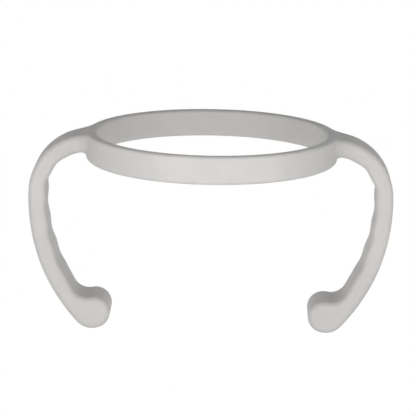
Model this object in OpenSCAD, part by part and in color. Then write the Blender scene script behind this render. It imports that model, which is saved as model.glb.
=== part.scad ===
// Spring cheek retractor: a round viewing window with two curved arms whose barrel tips hook the cheeks.
// It is one plastic moulding, split here into its regions: the window ring, two necks, arms and tips.
// Origin: centre of the window. +Z is the window's axis and +X runs through the right arm.

/* [Window ring] */
// Outer diameter of the ring
ring_d = 53; // [46:0.5:60]
// Radial thickness of the ring
ring_wall = 2.25; // [1.8:0.05:3]
// Height of the ring
ring_h = 5.8; // [5.2:0.1:7]
// Rounding of the ring's rims
rim_r = 0.7; // [0.4:0.05:0.85]

/* [Strap section] */
// Width of the arms, along Y
strap_w = 9.4; // [7:0.1:11]
// Thickness of the arms
strap_t = 3.6; // [3:0.1:4]
// Rounding of the arms' long edges
edge_r = 1.2; // [0.5:0.05:1.3]

/* [Arm curve] */
// Height of the strap's middle where it leaves the ring
neck_z = 0.82; // [0.5:0.02:0.9]
// Slope at which the strap leaves the ring, in degrees below level
neck_slope = 11.8; // [8:0.1:14]
// Straight run between the ring and the shoulder bend
neck_run = 1.45; // [1:0.05:2.5]
// Radius of the shoulder bend, at the strap's middle
shoulder_r = 11; // [9:0.5:14]
// Turn of the shoulder bend, in degrees
shoulder_turn = 76; // [70:0.5:80]
// Radius of the long side bend, at the strap's middle
side_r = 38; // [34:0.5:46]
// Turn of the long side bend down to the heel, in degrees
side_turn = 44.5; // [40:0.5:50]

/* [Tip] */
// Width of the tips, along Y
tip_w = 10.8; // [9:0.1:13]
// Heading at which the strap starts to widen
widen_from = 92; // [90:1:100]
// Heading at which it has its full width
widen_to = 115; // [110:1:125]
// Radius of the barrel at the end of the arm
barrel_r = 3.45; // [3.2:0.05:4]
// Radius of the heel, where the strap's outside runs into the barrel
heel_r = 4.35; // [4.2:0.05:5]
// Turn of the heel, in degrees
heel_turn = 70; // [50:1:90]
// Radius of the hollow between the strap's inside and the barrel
throat_r = 3.5; // [2.5:0.1:4.5]

/* [Fillets at the ring] */
// Radius of the fillets beside the strap, seen from above
side_fillet_r = 3; // [1.5:0.1:3.4]
// Radius of the fillet under the strap
under_fillet_r = 1; // [0.5:0.05:1]

/* [Regions] */
// How much of the shoulder bend belongs to the neck, in degrees
neck_turn = 34; // [25:1:45]

/* [Hidden] */
$fn = 96;
moulding_colour = [0.80, 0.79, 0.78];

ring_r = ring_d / 2;

// A heading is the direction in which the strap's middle line runs, in degrees below +X.
// The strap's outside is on the left of the heading, and its inside is on the right.
function along(heading) = [cos(heading), -sin(heading)];
function outward(heading) = [sin(heading), cos(heading)];
// Polar angle of a vector
function bearing(v) = atan2(v[1], v[0]);

shoulder_heading = neck_slope + shoulder_turn;
heel_heading = shoulder_heading + side_turn;
barrel_heading = heel_heading + heel_turn;

root = [ring_r, neck_z];
shoulder_start = root + neck_run * along(neck_slope);
shoulder_centre = shoulder_start - shoulder_r * outward(neck_slope);
side_centre = shoulder_centre + (shoulder_r - side_r) * outward(shoulder_heading);
heel_centre = side_centre + (side_r + strap_t / 2 - heel_r) * outward(heel_heading);
barrel_centre = heel_centre + (heel_r - barrel_r) * outward(barrel_heading);

// The hollow's circle touches the barrel from outside and the strap's inside face from within
throat_to_barrel = barrel_r + throat_r;
throat_to_side = side_r - strap_t / 2 - throat_r;
side_to_barrel = norm(barrel_centre - side_centre);
throat_along = (throat_to_side ^ 2 - throat_to_barrel ^ 2 + side_to_barrel ^ 2) / (2 * side_to_barrel);
throat_bearing = bearing(barrel_centre - side_centre) + acos(throat_along / throat_to_side);
throat_centre = side_centre + throat_to_side * [cos(throat_bearing), sin(throat_bearing)];

// The tip starts where the hollow does, and the barrel ends where the hollow does
tip_start_heading = 90 - throat_bearing;
throat_heading = 90 - bearing(throat_centre - barrel_centre) + 360;

// Steps in a quarter turn of a rounded edge
rim_steps = 4;
// Largest turn between neighbouring points of the tip's outline, in degrees
outline_step = 8;

// Half of the strap's width, at a heading seen from the centre of the long side bend
function half_width(heading) =
    let (
        share = min(max((heading - widen_from) / (widen_to - widen_from), 0), 1),
        eased = share ^ 2 * (3 - 2 * share)
    ) (strap_w + (tip_w - strap_w) * eased) / 2;

// Points of an arc, from one heading to another, without the last one
function arc(centre, radius, from, to) =
    let (steps = ceil(abs(to - from) / outline_step))
        [for (i = [0:steps - 1]) centre + radius * outward(from + (to - from) * i / steps)];

// Outline of the tip, from the strap's outside round the barrel to its inside, drawn in by an inset
function tip_outline(inset) = concat(
    arc(side_centre, side_r + strap_t / 2 - inset, tip_start_heading, heel_heading),
    arc(heel_centre, heel_r - inset, heel_heading, barrel_heading),
    arc(barrel_centre, barrel_r - inset, barrel_heading, throat_heading),
    arc(throat_centre, throat_r + inset, throat_heading - 180, tip_start_heading),
    [throat_centre + (throat_r + inset) * outward(tip_start_heading)]
);

// Distances from the ring along the strap's middle line
neck_length = neck_run + shoulder_r * neck_turn * PI / 180;
shoulder_end = neck_run + shoulder_r * shoulder_turn * PI / 180;
arm_end = shoulder_end + side_r * (tip_start_heading - shoulder_heading) * PI / 180;

// Heading and place of the strap's middle line at a distance from the ring
function middle_heading(distance) =
    distance < neck_run ? neck_slope
    : distance < shoulder_end ? neck_slope + (distance - neck_run) / shoulder_r * 180 / PI
    : shoulder_heading + (distance - shoulder_end) / side_r * 180 / PI;
function middle_point(distance) =
    distance < neck_run ? root + distance * along(neck_slope)
    : distance < shoulder_end ? shoulder_centre + shoulder_r * outward(middle_heading(distance))
    : side_centre + side_r * outward(middle_heading(distance));

// The side fillets touch the strap's sides and the ring's wall
side_fillet_y = strap_w / 2 + side_fillet_r;
side_fillet_x = sqrt((ring_r + side_fillet_r) ^ 2 - side_fillet_y ^ 2);
flare_length = side_fillet_x - ring_r;
flare_turn = asin(side_fillet_x / (ring_r + side_fillet_r));
// Steps along the flare, and across the flat of a section
flare_steps = 6;
row_steps = 6;
// Largest distance between neighbouring sections of the strap
section_step = 1.6;

// One long side of a section, from -Y to +Y: each point's Y and its height over the corner's start
function section_row(half) = concat(
    [for (i = [0:rim_steps]) let (a = 90 * i / rim_steps) [-half + edge_r * (1 - cos(a)), sin(a)]],
    [for (i = [1:row_steps - 1]) [(half - edge_r) * (2 * i / row_steps - 1), 1]],
    [for (i = [rim_steps:-1:0]) let (a = 90 * i / rim_steps) [half - edge_r * (1 - cos(a)), sin(a)]]
);

// How much thicker the strap is below, this far from the ring
function under_fillet(distance) = distance < under_fillet_r
    ? under_fillet_r - sqrt(under_fillet_r ^ 2 - (under_fillet_r - distance) ^ 2)
    : 0;

// The neck's root stands off the ring's round wall a little, so that its flat facets don't cut into the wall
root_half_width = strap_w / 2 + side_fillet_r * (1 - cos(flare_turn));
root_r = norm([ring_r, root_half_width / row_steps]);

// Section of the strap. flare is 1 on the ring's wall and 0 where the plain strap begins. A flared section
// bows back to follow the round wall, and leans from upright at the wall to square across the strap.
function strap_section(distance, flare = 0) =
    let (
        middle = middle_point(distance),
        heading = middle_heading(distance),
        lean = flare * [0, 1 / cos(neck_slope)] + (1 - flare) * outward(heading),
        turn = asin(flare * sin(flare_turn)),
        half = half_width(heading) + side_fillet_r * (1 - cos(turn)),
        bow = flare * (side_fillet_r * sin(flare_turn) - flare_length),
        row = section_row(half),
        last = len(row) - 1,
        corner = strap_t / 2 - edge_r,
        low_corner = corner + under_fillet(distance),
        top = [for (p = row) [p[0], corner + edge_r * p[1]]],
        bottom = [for (i = [last:-1:0]) [row[i][0], -low_corner - edge_r * row[i][1]]]
    ) [
        for (p = concat(top, bottom))
            let (
                back = bow * (p[0] / half) ^ 2,
                place = middle + p[1] * lean - back * along(heading)
            ) [flare == 1 ? sqrt(root_r ^ 2 - p[0] ^ 2) : place[0], p[0], place[1]]
    ];

// Evenly spaced plain sections from one distance to another
function plain_sections(from, to) =
    let (steps = ceil((to - from) / section_step))
        [for (i = [0:steps]) strap_section(from + (to - from) * i / steps)];

flared_sections = [
    for (i = [0:flare_steps - 1])
        let (flare = sin(flare_turn * (1 - i / flare_steps)) / sin(flare_turn))
            strap_section(flare_length * (1 - flare), flare)
];

// Rounded rectangle centred on the origin
module rounded_rect(w, h, r) {
    square([w - 2 * r, h], center = true);
    square([w, h - 2 * r], center = true);
    for (x = [-1, 1], y = [-1, 1])
        translate([x * (w / 2 - r), y * (h / 2 - r)])
            circle(r = r);
}

// Mirrors the right-hand shape to the left
module left() {
    mirror([1, 0, 0])
        children();
}

// Solid of the ring
module ring_solid() {
    rotate_extrude()
        translate([ring_r - ring_wall / 2, 0])
            rounded_rect(ring_wall, ring_h, rim_r);
}

// Triangles across a section, in rungs from its first and last points towards its middle ones
function rungs(count) = [
    for (i = [0:floor(count / 2) - 1])
        let (j = count - 1 - i)
            for (face = [[i, j, i + 1], [i + 1, j, j - 1]])
                if (face[0] < face[1] && face[2] != face[0] && face[2] != face[1])
                    face
];

// Closed solid through a row of sections with equal numbers of points
module loft(sections) {
    count = len(sections[0]);
    sides = [
        for (k = [0:len(sections) - 2], i = [0:count - 1])
            let (j = (i + 1) % count)
                [k * count + i, k * count + j, (k + 1) * count + j, (k + 1) * count + i]
    ];
    last_start = (len(sections) - 1) * count;
    polyhedron(
        points = [for (section = sections, point = section) point],
        faces = concat(
            rungs(count),
            sides,
            [for (face = rungs(count)) [last_start + face[2], last_start + face[1], last_start + face[0]]]
        )
    );
}

// Neck: flared out to the ring's round wall at its root, and of the plain section at its end
module right_neck_shape() {
    loft(concat(flared_sections, plain_sections(flare_length, neck_length)));
}

// Arm: the plain section all the way from the neck to the tip
module right_arm_shape() {
    loft(plain_sections(neck_length, arm_end));
}

// Tip: its outline swept across the strap's width, with both rims rounded
module right_tip_shape() {
    layers = [
        for (side = [-1, 1], step = [0:rim_steps])
            let (rim_angle = 90 * (side < 0 ? rim_steps - step : step) / rim_steps)
                [side, edge_r * (1 - cos(rim_angle)), edge_r * (1 - sin(rim_angle))]
    ];
    loft([
        for (layer = layers)
            [
                for (p = tip_outline(layer[1]))
                    let (half = half_width(90 - bearing(p - side_centre)))
                        [p[0], -layer[0] * (half - layer[2]), p[1]]
            ]
    ]);
}

// Window: the ring that the mouth is seen through
module window_ring() {
    color(moulding_colour)
        ring_solid();
}

// Necks: the short flexing roots of the arms
module right_neck() {
    color(moulding_colour)
        right_neck_shape();
}

module left_neck() {
    color(moulding_colour)
        left()
            right_neck_shape();
}

// Arms: the curved straps
module right_arm() {
    color(moulding_colour)
        right_arm_shape();
}

module left_arm() {
    color(moulding_colour)
        left()
            right_arm_shape();
}

// Tips: the barrels that bear on the cheeks
module right_tip() {
    color(moulding_colour)
        right_tip_shape();
}

module left_tip() {
    color(moulding_colour)
        left()
            right_tip_shape();
}

window_ring();
left_neck();
right_neck();
left_arm();
right_arm();
left_tip();
right_tip();
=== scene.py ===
"""Cheek retractor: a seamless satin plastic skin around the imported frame, in plain studio light.

The skin is one smooth solid, worked out as a signed distance, meshed, and cut into one closed piece
for each CAD node. The moulding's sizes are in millimetres, and those of the material and the studio
in metres. The shape is mirrored in X = 0 and Y = 0.
"""

import math

import bmesh
import bpy
import numpy as np
from mathutils import Matrix, Vector


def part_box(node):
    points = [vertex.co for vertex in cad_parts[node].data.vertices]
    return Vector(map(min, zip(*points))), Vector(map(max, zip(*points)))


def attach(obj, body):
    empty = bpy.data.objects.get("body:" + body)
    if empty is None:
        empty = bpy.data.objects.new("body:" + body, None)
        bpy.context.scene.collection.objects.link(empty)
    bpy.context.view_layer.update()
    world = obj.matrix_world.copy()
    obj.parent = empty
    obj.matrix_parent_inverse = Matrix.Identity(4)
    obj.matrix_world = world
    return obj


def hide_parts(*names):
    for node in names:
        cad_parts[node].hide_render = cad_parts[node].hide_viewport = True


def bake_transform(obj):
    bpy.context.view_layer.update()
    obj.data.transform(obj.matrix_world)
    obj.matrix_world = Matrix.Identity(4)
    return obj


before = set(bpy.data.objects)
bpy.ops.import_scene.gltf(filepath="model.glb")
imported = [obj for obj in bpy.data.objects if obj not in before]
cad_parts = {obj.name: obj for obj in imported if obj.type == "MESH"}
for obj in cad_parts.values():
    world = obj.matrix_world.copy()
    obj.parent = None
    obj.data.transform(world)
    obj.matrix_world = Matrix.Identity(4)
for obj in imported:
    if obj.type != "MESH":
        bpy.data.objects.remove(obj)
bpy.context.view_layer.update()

MM = 0.001

# ---------------------------------------------------------------- dimensions, in millimetres
RING_RADIUS = 26.5
RING_WALL = 2.25
RING_HEIGHT = 5.8
RIM_RADIUS = 0.7

STRAP_WIDTH = 9.4
# The strap grows this wide towards its tip, between two headings
TIP_WIDTH = 10.8
FLARE_START = 92.0
FLARE_END = 115.0
STRAP_THICKNESS = 3.6
EDGE_RADIUS = 1.2

NECK_HEIGHT = 0.82
NECK_SLOPE = 11.8
NECK_RUN = 1.45
SHOULDER_RADIUS = 11.0
SHOULDER_TURN = 76.0
SIDE_RADIUS = 38.0
SIDE_TURN = 44.5

BARREL_RADIUS = 3.45
HEEL_RADIUS = 4.35
HEEL_TURN = 70.0
THROAT_RADIUS = 3.5
# The edges are rounder on the tips: from this height, the rounding grows over this distance
TIP_EDGE_RADIUS = 1.4
TIP_EDGE_Z = -24.0
TIP_EDGE_RUN = 8.0

SIDE_FILLET = 3.0
JOIN_FILLET = 0.25
# The fillet under the strap. It grows from JOIN_FILLET over two runs: with the depth below the strap's
# middle, and from outside the strap's side inwards.
UNDER_FILLET = 1.2
UNDER_START = 0.3
UNDER_RUN = 1.2
UNDER_SIDE_START = 1.2
UNDER_SIDE_RUN = 1.5

# Shallow ripples run across the inside of the arms. Distances are along the strap, from the ring.
RIPPLE_HEIGHT = 0.11
RIPPLE_PITCH = 6.05
FIRST_CREST = 4.9
RIPPLE_COUNT = 5
RIPPLE_FADE = 2.4

# The strap starts this deep in the ring's wall, at heights above the floor of its root
ROOT_DEPTH = 1.1
ROOT_FLOOR = -10.0

NECK_TURN = 34.0

# Grid that the skin is meshed on, with its room past the ring in X, Y and Z, and its floor
VOXEL = 0.35
GRID_ROOM = (13.5, 1.5, 1.5)
GRID_FLOOR = -41.5
# The points are evened out in rounds, each part of the way to the mean, and then drawn onto the skin
EVEN_ROUNDS = 8
EVEN_SHARE = 0.5
DRAW_ROUNDS = 2


# ---------------------------------------------------------------- the arm's outline, in the XZ plane
# A heading is the direction of travel along the strap, in degrees below +X. Outward is on its left.
def outward(heading):
    angle = math.radians(heading)
    return np.array([math.sin(angle), math.cos(angle)])


def along(heading):
    angle = math.radians(heading)
    return np.array([math.cos(angle), -math.sin(angle)])


def bearing(v):
    return math.degrees(math.atan2(v[1], v[0]))


def ease(t):
    t = np.clip(t, 0, 1)
    return t * t * (3 - 2 * t)


HALF_T = STRAP_THICKNESS / 2
SHOULDER_HEADING = NECK_SLOPE + SHOULDER_TURN
HEEL_HEADING = SHOULDER_HEADING + SIDE_TURN
BARREL_HEADING = HEEL_HEADING + HEEL_TURN
NECK_END_HEADING = NECK_SLOPE + NECK_TURN

ROOT = np.array([RING_RADIUS, NECK_HEIGHT])
SHOULDER_START = ROOT + NECK_RUN * along(NECK_SLOPE)
SHOULDER_CENTRE = SHOULDER_START - SHOULDER_RADIUS * outward(NECK_SLOPE)
SIDE_CENTRE = SHOULDER_CENTRE + (SHOULDER_RADIUS - SIDE_RADIUS) * outward(SHOULDER_HEADING)
HEEL_CENTRE = SIDE_CENTRE + (SIDE_RADIUS + HALF_T - HEEL_RADIUS) * outward(HEEL_HEADING)
BARREL_CENTRE = HEEL_CENTRE + (HEEL_RADIUS - BARREL_RADIUS) * outward(BARREL_HEADING)


def touching_centre():
    """Centre of the hollow's circle, which touches the barrel and the inside of the strap."""
    to_barrel = BARREL_RADIUS + THROAT_RADIUS
    to_side = SIDE_RADIUS - HALF_T - THROAT_RADIUS
    gap = np.linalg.norm(BARREL_CENTRE - SIDE_CENTRE)
    reach = (to_side**2 - to_barrel**2 + gap**2) / (2 * gap)
    angle = math.radians(bearing(BARREL_CENTRE - SIDE_CENTRE)) + math.acos(reach / to_side)
    return SIDE_CENTRE + to_side * np.array([math.cos(angle), math.sin(angle)])


THROAT_CENTRE = touching_centre()
TIP_HEADING = 90 - bearing(THROAT_CENTRE - SIDE_CENTRE)
THROAT_HEADING = 90 - bearing(THROAT_CENTRE - BARREL_CENTRE) + 360

SHOULDER_END = NECK_RUN + SHOULDER_RADIUS * math.radians(SHOULDER_TURN)
TIP_START = SHOULDER_END + SIDE_RADIUS * math.radians(TIP_HEADING - SHOULDER_HEADING)


def ripple(distance):
    """Height of the ripples on the strap's inside, which fade out where the tip starts."""
    phase = np.clip((distance - FIRST_CREST) / RIPPLE_PITCH, 0, RIPPLE_COUNT)
    fade = np.clip((TIP_START - distance) / RIPPLE_FADE, 0, 1)
    return RIPPLE_HEIGHT * np.cos(2 * math.pi * phase) * ease(fade)


def plain(heading):
    return 0


def side_ripple(heading):
    return ripple(SHOULDER_END + SIDE_RADIUS * np.radians(heading - SHOULDER_HEADING))


def shoulder_ripple(heading):
    return ripple(NECK_RUN + SHOULDER_RADIUS * np.radians(heading - NECK_SLOPE))


# Each stretch of the outline: centre, radius, first heading, last heading, and +1 where it bulges or -1
# where it is hollow. The outside comes first, then the barrel, then the inside back to the ring.
# The last entry is the relief on it, from the heading.
OUTLINE_ARCS = [
    (SHOULDER_CENTRE, SHOULDER_RADIUS + HALF_T, NECK_SLOPE, SHOULDER_HEADING, 1, plain),
    (SIDE_CENTRE, SIDE_RADIUS + HALF_T, SHOULDER_HEADING, HEEL_HEADING, 1, plain),
    (HEEL_CENTRE, HEEL_RADIUS, HEEL_HEADING, BARREL_HEADING, 1, plain),
    (BARREL_CENTRE, BARREL_RADIUS, BARREL_HEADING, THROAT_HEADING, 1, plain),
    (THROAT_CENTRE, THROAT_RADIUS, TIP_HEADING, THROAT_HEADING - 180, -1, plain),
    (SIDE_CENTRE, SIDE_RADIUS - HALF_T, SHOULDER_HEADING, TIP_HEADING, -1, side_ripple),
    (SHOULDER_CENTRE, SHOULDER_RADIUS - HALF_T, NECK_SLOPE, SHOULDER_HEADING, -1, shoulder_ripple),
]


def outline_distance(x, z):
    """Signed distance from the arm's outline, negative inside. The neck runs on into the ring."""
    best = np.full(np.broadcast(x, z).shape, np.inf)
    signed = best.copy()

    def take(distance, valid):
        closer = valid & (np.abs(distance) < best)
        best[closer] = np.abs(distance)[closer]
        signed[closer] = distance[closer]

    for centre, radius, first, last, bulge, relief in OUTLINE_ARCS:
        dx = x - centre[0]
        dz = z - centre[1]
        heading = np.degrees(np.arctan2(dx, dz))
        heading = first + np.mod(heading - first, 360)
        take(bulge * (np.hypot(dx, dz) - radius) - relief(heading), heading <= last)

    dx = x - SHOULDER_START[0]
    dz = z - SHOULDER_START[1]
    run = dx * along(NECK_SLOPE)[0] + dz * along(NECK_SLOPE)[1]
    rise = dx * outward(NECK_SLOPE)[0] + dz * outward(NECK_SLOPE)[1]
    take(rise - HALF_T, run <= 0)
    take(-rise - HALF_T - ripple(0), run <= 0)
    return signed


# ---------------------------------------------------------------- the whole skin
def rounded_meet(a, b, radius):
    """Both a and b, with the outer corner between them rounded."""
    u = a + radius
    v = b + radius
    outside = np.hypot(np.maximum(u, 0), np.maximum(v, 0))
    return outside + np.minimum(np.maximum(u, v), 0) - radius


def filleted_join(a, b, radius):
    """Either a or b, with the inner corner between them filled to a radius."""
    u = np.maximum(radius - a, 0)
    v = np.maximum(radius - b, 0)
    return np.maximum(radius, np.minimum(a, b)) - np.hypot(u, v)


def skin_distance(x, y, z):
    """Signed distance from the skin, in millimetres, negative inside."""
    x = np.abs(x)
    y = np.abs(y)
    radial = np.hypot(x, y)
    ring = rounded_meet(
        np.abs(radial - (RING_RADIUS - RING_WALL / 2)) - RING_WALL / 2,
        np.abs(z) - RING_HEIGHT / 2,
        RIM_RADIUS,
    )
    flat = outline_distance(x, z)
    heading = np.degrees(np.arctan2(x - SIDE_CENTRE[0], z - SIDE_CENTRE[1]))
    flare = ease((heading - FLARE_START) / (FLARE_END - FLARE_START))
    half_width = (STRAP_WIDTH + (TIP_WIDTH - STRAP_WIDTH) * flare) / 2
    sides = filleted_join(y - half_width, ring, SIDE_FILLET)
    edge = EDGE_RADIUS + (TIP_EDGE_RADIUS - EDGE_RADIUS) * ease((TIP_EDGE_Z - z) / TIP_EDGE_RUN)
    arm = rounded_meet(flat, sides, edge)
    # The strap starts inside the ring's wall, while the barrel, far below, reaches further in
    arm = np.where(z > ROOT_FLOOR, np.maximum(arm, RING_RADIUS - ROOT_DEPTH - x), arm)

    rise = z - (NECK_HEIGHT - (x - RING_RADIUS) * math.tan(math.radians(NECK_SLOPE)))
    below = ease((-rise - UNDER_START) / UNDER_RUN)
    inward = ease((STRAP_WIDTH / 2 + UNDER_SIDE_START - y) / UNDER_SIDE_RUN)
    fillet = JOIN_FILLET + (UNDER_FILLET - JOIN_FILLET) * (below * inward)
    return filleted_join(ring, arm, fillet)


def skin_gradient(points, step=0.01):
    """Unit normals of the skin at points, an array of shape (n, 3)."""
    out = np.empty_like(points)
    for axis in range(3):
        shift = np.zeros(3)
        shift[axis] = step
        out[:, axis] = skin_distance(*(points + shift).T) - skin_distance(*(points - shift).T)
    return out / np.maximum(np.linalg.norm(out, axis=1, keepdims=True), 1e-9)


def mesh_skin():
    """Quads over the skin, with a point in each grid cell that the surface passes through."""
    lengths = [
        2 * (RING_RADIUS + GRID_ROOM[0]),
        2 * (RING_RADIUS + GRID_ROOM[1]),
        RING_HEIGHT / 2 + GRID_ROOM[2] - GRID_FLOOR,
    ]
    counts = [int(length / VOXEL) + 1 for length in lengths]
    # The grid is even about X = 0 and Y = 0, so that the mesh is mirrored too
    starts = np.array([-(counts[0] - 1) * VOXEL / 2, -(counts[1] - 1) * VOXEL / 2, GRID_FLOOR])
    axes = [starts[i] + VOXEL * np.arange(counts[i]) for i in range(3)]
    value = np.empty(counts, np.float32)
    for k, x in enumerate(axes[0]):
        value[k] = skin_distance(x, axes[1][:, None], axes[2][None, :])

    # Average of the crossings on each cell's edges
    cells = np.array(counts) - 1
    total = np.zeros((*cells, 3), np.float64)
    number = np.zeros(cells, np.int32)
    quads_from = []
    for axis in range(3):
        low = [slice(None)] * 3
        high = [slice(None)] * 3
        low[axis] = slice(0, -1)
        high[axis] = slice(1, None)
        a = value[tuple(low)]
        b = value[tuple(high)]
        crossed = (a < 0) != (b < 0)
        index = np.argwhere(crossed)
        share = (a / np.where(crossed, a - b, 1))[crossed]
        place = starts + index * VOXEL
        place[:, axis] += share * VOXEL
        others = [i for i in range(3) if i != axis]
        for da in (0, 1):
            for db in (0, 1):
                cell = index.copy()
                cell[:, others[0]] -= da
                cell[:, others[1]] -= db
                ok = np.all((cell >= 0) & (cell < cells), axis=1)
                key = tuple(cell[ok].T)
                np.add.at(total, key, place[ok])
                np.add.at(number, key, 1)
        quads_from.append((axis, others, index, (a < 0)[crossed]))

    used = number > 0
    numbering = np.full(cells, -1, np.int64)
    numbering[used] = np.arange(used.sum())
    points = total[used] / number[used][:, None]

    faces = []
    for axis, (first, second), index, starts_inside in quads_from:
        corner = []
        for da, db in ((1, 1), (0, 1), (0, 0), (1, 0)):
            cell = index.copy()
            cell[:, first] -= da
            cell[:, second] -= db
            corner.append(numbering[tuple(cell.T)])
        quad = np.stack(corner, 1)
        # Faces look out of the solid. Across Y, the four cells run the other way round.
        turn = starts_inside if axis != 1 else ~starts_inside
        quad[~turn] = quad[~turn][:, ::-1]
        faces.append(quad)
    faces = np.concatenate(faces)
    return settle(points, faces), faces


def settle(points, faces):
    """Evens out the points along the surface, and draws them onto it."""
    sides = np.concatenate([faces[:, [i, (i + 1) % 4]] for i in range(4)])
    edges = np.unique(np.sort(sides, 1), axis=0)
    degree = np.bincount(edges.ravel(), minlength=len(points))[:, None]
    for _ in range(EVEN_ROUNDS):
        mean = np.zeros_like(points)
        np.add.at(mean, edges[:, 0], points[edges[:, 1]])
        np.add.at(mean, edges[:, 1], points[edges[:, 0]])
        move = mean / degree - points
        normal = skin_gradient(points)
        move -= normal * (move * normal).sum(1, keepdims=True)
        points = points + EVEN_SHARE * move
        for _ in range(DRAW_ROUNDS):
            points = points - skin_gradient(points) * skin_distance(*points.T)[:, None]
    return points


# ---------------------------------------------------------------- cutting the skin into pieces
# The neck's cut stands just off the ring's wall
NECK_CUT_X = RING_RADIUS + 0.15
NECK_END = SHOULDER_CENTRE + SHOULDER_RADIUS * outward(NECK_END_HEADING)
ARM_END = SIDE_CENTRE + SIDE_RADIUS * outward(TIP_HEADING)
# How far a cut reaches from its plane's point
CUT_REACH = 7.5
CUT_TOLERANCE = 1e-5
# The right-hand planes, each with a point and a normal in XZ
RIGHT_CUTS = [
    (np.array([NECK_CUT_X, NECK_HEIGHT]), np.array([1.0, 0.0])),
    (NECK_END, along(NECK_END_HEADING)),
    (ARM_END, along(TIP_HEADING)),
]


def cut_planes():
    for side in (-1, 1):
        for point, normal in RIGHT_CUTS:
            yield Vector((side * point[0], 0, point[1])), Vector((side * normal[0], 0, normal[1]))


# A neck's middle is above the first height, and an arm's above the second
NECK_ABOVE = -5
ARM_ABOVE = -30


def node_of(centre):
    """The CAD node that a cut piece stands for, from the middle of its box."""
    side = "left" if centre.x < 0 else "right"
    if abs(centre.x) < 1:
        return "window_ring"
    if centre.z > NECK_ABOVE:
        return side + "_neck"
    if centre.z > ARM_ABOVE:
        return side + "_arm"
    return side + "_tip"


def in_order(items):
    """Items without repeats, in the order in which they first come, so that each run is the same."""
    return list(dict.fromkeys(items))


def islands(bm):
    """Groups of faces joined by shared edges."""
    seen = set()
    for seed in bm.faces:
        if seed in seen:
            continue
        seen.add(seed)
        group = [seed]
        stack = [seed]
        while stack:
            for edge in stack.pop().edges:
                for face in edge.link_faces:
                    if face not in seen:
                        seen.add(face)
                        group.append(face)
                        stack.append(face)
        yield group


def build_pieces():
    points, faces = mesh_skin()
    mesh = bpy.data.meshes.new("skin")
    mesh.from_pydata(points.tolist(), [], faces.tolist())
    bm = bmesh.new()
    bm.from_mesh(mesh)
    bpy.data.meshes.remove(mesh)
    cut_edges = []
    for point, normal in cut_planes():
        near = [f for f in bm.faces if (f.calc_center_median() - point).length < CUT_REACH]
        corners = in_order(v for f in near for v in f.verts)
        sides = in_order(e for f in near for e in f.edges)
        made = bmesh.ops.bisect_plane(
            bm, geom=corners + sides + near, dist=CUT_TOLERANCE, plane_co=point, plane_no=normal
        )
        cut_edges += [e for e in made["geom_cut"] if isinstance(e, bmesh.types.BMEdge)]
    bmesh.ops.split_edges(bm, edges=in_order(cut_edges))
    pieces = {}
    for group in islands(bm):
        order = in_order(v for f in group for v in f.verts)
        number = {v: i for i, v in enumerate(order)}
        coords = np.array([v.co for v in order])
        node = node_of(Vector((coords.min(0) + coords.max(0)) / 2))
        pieces[node] = make_piece(node, coords, [[number[v] for v in f.verts] for f in group])
    bm.free()
    return pieces


def make_piece(name, coords, piece_faces):
    """A closed mesh object in metres, shaded by the skin's own normals, with flat end caps."""
    normals = skin_gradient(coords)
    mesh = bpy.data.meshes.new(name + "_skin")
    mesh.from_pydata((coords * MM).tolist(), [], piece_faces)
    bm = bmesh.new()
    bm.from_mesh(mesh)
    skin_count = len(bm.faces)
    rims = [e for e in bm.edges if e.is_boundary]
    if rims:
        bmesh.ops.holes_fill(bm, edges=rims, sides=0)
    for face in bm.faces:
        face.smooth = True
    bm.to_mesh(mesh)
    bm.free()
    loop_normals = []
    for face in mesh.polygons:
        flat = face.index >= skin_count
        for vertex in face.vertices:
            loop_normals.append(face.normal[:] if flat else normals[vertex].tolist())
    mesh.normals_split_custom_set(loop_normals)
    obj = bpy.data.objects.new("skin_" + name, mesh)
    bpy.context.scene.collection.objects.link(obj)
    return obj


# ---------------------------------------------------------------- materials
# Sizes of the procedural features: clouds and mottle in the tint, patches in the gloss, and the grain
CLOUD_SIZE = 0.016
MOTTLE_SIZE = 0.0035
GLOSS_SIZE = 0.006
GRAIN_SIZE = 0.0006
GRAIN_DEPTH = 0.00002
# How much smoother the rubbed edges are
EDGE_GLOSS = 0.06
WARM_WHITE = (0.584, 0.567, 0.547, 1)
COOL_WHITE = (0.559, 0.552, 0.545, 1)


def add_node(tree, kind, **inputs):
    """A new node with its input sockets set, or linked where the value is another node's socket."""
    node = tree.nodes.new(kind)
    for name, value in inputs.items():
        socket = node.inputs[name.replace("_", " ")]
        if isinstance(value, bpy.types.NodeSocket):
            tree.links.new(value, socket)
        else:
            socket.default_value = value
    return node


def noise(tree, place, size, detail=2.0):
    """Soft noise from 0 to 1 with features of about this size, in metres."""
    node = add_node(tree, "ShaderNodeTexNoise", Vector=place, Scale=1 / size, Detail=detail)
    return node.outputs["Fac"]


def spread(tree, value, from_low, from_high, to_low, to_high):
    """A value moved from one range to another, and held inside it."""
    node = add_node(tree, "ShaderNodeMapRange", Value=value)
    node.inputs["From Min"].default_value = from_low
    node.inputs["From Max"].default_value = from_high
    node.inputs["To Min"].default_value = to_low
    node.inputs["To Max"].default_value = to_high
    return node.outputs["Result"]


def mixed_colour(tree, factor, a, b, blend="MIX"):
    node = tree.nodes.new("ShaderNodeMix")
    node.data_type = "RGBA"
    node.blend_type = blend
    # A colour mix keeps its factor in socket 0, its colours in 6 and 7, and its result in 2
    for socket, value in ((node.inputs[0], factor), (node.inputs[6], a), (node.inputs[7], b)):
        if isinstance(value, bpy.types.NodeSocket):
            tree.links.new(value, socket)
        else:
            socket.default_value = value
    return node.outputs[2]


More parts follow.
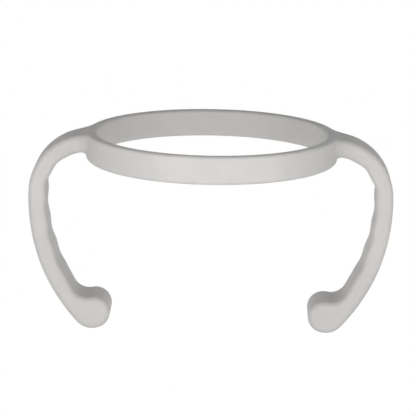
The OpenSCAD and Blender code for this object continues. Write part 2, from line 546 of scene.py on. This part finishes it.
def plastic():
    """Satin moulded plastic: cloudy tint, fine matt grain, and long edges rubbed a little smoother."""
    material = bpy.data.materials.new("satin_plastic")
    material.use_nodes = True
    tree = material.node_tree
    shader = tree.nodes["Principled BSDF"]
    place = add_node(tree, "ShaderNodeTexCoord").outputs["Object"]

    clouds = spread(tree, noise(tree, place, CLOUD_SIZE), 0.35, 0.65, 0, 1)
    tint = mixed_colour(tree, clouds, WARM_WHITE, COOL_WHITE)
    mottle = spread(tree, noise(tree, place, MOTTLE_SIZE, 3), 0.3, 0.7, 0.975, 1.02)
    tint = mixed_colour(tree, 1.0, tint, mottle, "MULTIPLY")
    tree.links.new(tint, shader.inputs["Base Color"])

    pointiness = add_node(tree, "ShaderNodeNewGeometry").outputs["Pointiness"]
    edges = spread(tree, pointiness, 0.51, 0.56, 0, 1)
    grain = noise(tree, place, GRAIN_SIZE, 3)
    rough = spread(tree, noise(tree, place, GLOSS_SIZE), 0.3, 0.7, 0.42, 0.52)
    worn = tree.nodes.new("ShaderNodeMath")
    worn.operation = "MULTIPLY_ADD"
    tree.links.new(edges, worn.inputs[0])
    worn.inputs[1].default_value = -EDGE_GLOSS
    tree.links.new(rough, worn.inputs[2])
    tree.links.new(worn.outputs[0], shader.inputs["Roughness"])

    bump = add_node(tree, "ShaderNodeBump", Height=grain, Strength=0.15, Distance=GRAIN_DEPTH)
    tree.links.new(bump.outputs["Normal"], shader.inputs["Normal"])

    shader.inputs["Specular IOR Level"].default_value = 0.4
    return material


# ---------------------------------------------------------------- studio
# Glow of the floor and of the world onto the object, and what both look like to the camera
STAGE_GLOW = 0.68
WORLD_GLOW = 0.11
STAGE_WHITE = 1.0
FLOOR_SIZE = 8
FLOOR_GAP = 0.0005
# The lights aim at the middle of the part
CENTRE = Vector((0, 0, -0.015))

# Softboxes close in front: azimuth and elevation in degrees, distance and size in metres, watts
SOFTBOXES = [
    ("front_left", -35, 9, 0.25, 0.14, 0.17),
    ("front_right", 45, 8, 0.25, 0.14, 0.18),
    ("front_top", 0, 30, 0.20, 0.12, 0.10),
    ("front_low", -20, 3, 0.20, 0.12, 0.04),
]
# Large far lights from the sides and the back: azimuth and elevation in degrees, strength
FAR_LIGHTS = [
    ("side_left", -115, 28, 0.49),
    ("side_right", 115, 28, 0.47),
    ("back", 180, 8, 0.26),
]
# Spread of each far light, in degrees
FAR_SPREAD = 50

# Where the camera looks from, in degrees, and at which point
CAMERA_AIM = Vector((-0.00058, 0, -0.01366))
CAMERA_AZIMUTH = 0.93
CAMERA_ELEVATION = 13.08
CAMERA_ROLL = 0.96
CAMERA_DISTANCE = 0.4864
# Focal length and width of the sensor, in millimetres
LENS = 198.0
SENSOR = 36


def direction(azimuth, elevation):
    """Unit vector towards an azimuth, which is 0 at -Y and grows towards +X, and an elevation."""
    azimuth, elevation = math.radians(azimuth), math.radians(elevation)
    level = math.cos(elevation)
    return Vector((math.sin(azimuth) * level, -math.cos(azimuth) * level, math.sin(elevation)))


def add_light(name, kind, towards, distance, energy):
    light = bpy.data.lights.new(name, kind)
    light.energy = energy
    obj = bpy.data.objects.new(name, light)
    obj.location = CENTRE + towards * distance
    obj.rotation_euler = towards.to_track_quat("Z", "Y").to_euler()
    bpy.context.scene.collection.objects.link(obj)
    return light


def set_glow(tree, shader, strength_on_object):
    """Make a shader glow white to the camera, and with another strength onto the object."""
    strength = tree.nodes.new("ShaderNodeMapRange")
    seen = tree.nodes.new("ShaderNodeLightPath").outputs["Is Camera Ray"]
    tree.links.new(seen, strength.inputs["Value"])
    strength.inputs["To Min"].default_value = strength_on_object
    strength.inputs["To Max"].default_value = STAGE_WHITE
    tree.links.new(strength.outputs["Result"], shader.inputs["Strength"])


def studio():
    world = bpy.data.worlds.new("world")
    world.use_nodes = True
    background = world.node_tree.nodes["Background"]
    background.inputs["Color"].default_value = (1, 1, 1, 1)
    set_glow(world.node_tree, background, WORLD_GLOW)
    bpy.context.scene.world = world

    low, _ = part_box("left_tip")
    bpy.ops.mesh.primitive_plane_add(size=FLOOR_SIZE, location=(0, 0, low.z - FLOOR_GAP))
    floor = bpy.context.object
    floor.name = "floor"
    material = bpy.data.materials.new("floor")
    material.use_nodes = True
    tree = material.node_tree
    tree.nodes.remove(tree.nodes["Principled BSDF"])
    glow = tree.nodes.new("ShaderNodeEmission")
    tree.links.new(glow.outputs["Emission"], tree.nodes["Material Output"].inputs["Surface"])
    set_glow(tree, glow, STAGE_GLOW)
    floor.data.materials.append(material)

    for name, azimuth, elevation, distance, size, watts in SOFTBOXES:
        light = add_light(name, "AREA", direction(azimuth, elevation), distance, watts)
        light.shape = "DISK"
        light.size = size
    for name, azimuth, elevation, strength in FAR_LIGHTS:
        light = add_light(name, "SUN", direction(azimuth, elevation), 1, strength)
        light.angle = math.radians(FAR_SPREAD)


def camera():
    data = bpy.data.cameras.new("camera")
    data.sensor_width = SENSOR
    data.lens = LENS
    data.clip_start = 0.01
    obj = bpy.data.objects.new("camera", data)
    bpy.context.scene.collection.objects.link(obj)
    back = direction(CAMERA_AZIMUTH, CAMERA_ELEVATION)
    obj.matrix_world = (
        Matrix.Translation(CAMERA_AIM + back * CAMERA_DISTANCE)
        @ back.to_track_quat("Z", "Y").to_matrix().to_4x4()
        @ Matrix.Rotation(math.radians(CAMERA_ROLL), 4, "Z")
    )
    bpy.context.scene.camera = obj


camera()
studio()
bpy.context.scene.view_settings.view_transform = "Standard"
pieces = build_pieces()
finish_material = plastic()
for node, piece in pieces.items():
    piece.data.materials.append(finish_material)
    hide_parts(node)
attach(pieces["window_ring"], "ring")
# The arm and the tip go with the arm's body, and the neck's placement is baked into its mesh
for side, sign in (("left", -1), ("right", 1)):
    body = side + "_arm"
    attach(pieces[side + "_arm"], body)
    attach(pieces[side + "_tip"], body)
    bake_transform(pieces[side + "_neck"])
